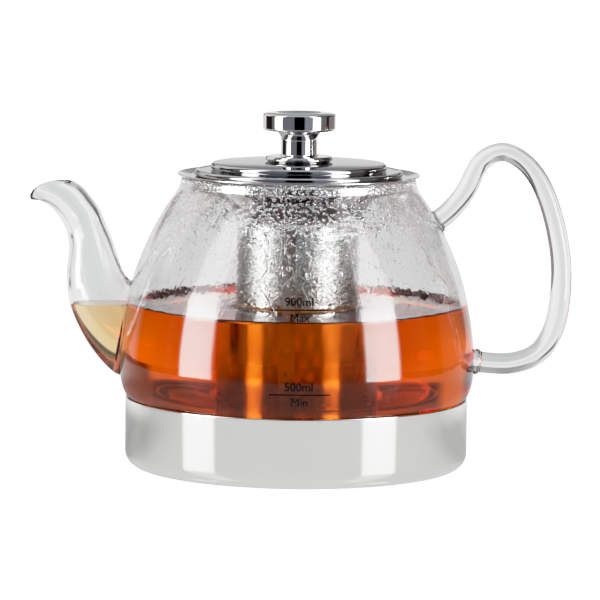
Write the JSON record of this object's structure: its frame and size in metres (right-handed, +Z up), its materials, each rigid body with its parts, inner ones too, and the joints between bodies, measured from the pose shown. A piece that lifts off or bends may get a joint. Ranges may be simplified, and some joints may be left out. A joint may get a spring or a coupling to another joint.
{
  "type": "glass teapot",
  "caption": "Round glass teapot on a pressed steel base, with curved glass spout and ear handle, lift-out perforated steel infuser and stepped steel lid with a turned knob.",
  "frame": {"origin": "centre of the underside of the base, on the axis of the body", "axes": "+Z up along the axis of the body, -X towards the spout, +X towards the handle, -Y towards the level marks"},
  "size_m": [0.2058, 0.1352, 0.1351],
  "materials": {
    "clear_glass": "clear blown borosilicate",
    "dark_print": "fired ink",
    "polished_steel": "mirror polished stainless steel",
    "perforated_steel": "perforated stainless sheet",
    "plate_steel": "satin magnetic steel",
    "bare_aluminium": "bare",
    "dark_seal": "silicone bond",
    "tea": "clear amber liquid",
    "water_drops": "condensation"
  },
  "bodies": {
    "pot": {"glass_body": "clear_glass", "glass_spout": "clear_glass", "glass_handle": "clear_glass", "level_marks": "dark_print", "steel_base": "polished_steel", "base_seal": "dark_seal", "heat_spreader": "bare_aluminium", "induction_plate": "plate_steel"},
    "infuser": {"infuser_collar": "polished_steel", "infuser_basket": "perforated_steel", "infuser_seam": "perforated_steel", "infuser_floor": "perforated_steel"},
    "lid": {"lid_cover": "polished_steel", "lid_liner": "polished_steel", "knob": "polished_steel", "knob_foot": "polished_steel", "knob_screw": "plate_steel", "knob_washer": "plate_steel"}
  },
  "joints": [
    {"name": "infuser_lift", "type": "slide", "parent": "pot", "child": "infuser", "axis": [0, 0, 1], "range_m": [0, 0.11]},
    {"name": "lid_lift", "type": "slide", "parent": "infuser", "child": "lid", "axis": [0, 0, 1], "range_m": [0, 0.06]}
  ]
}
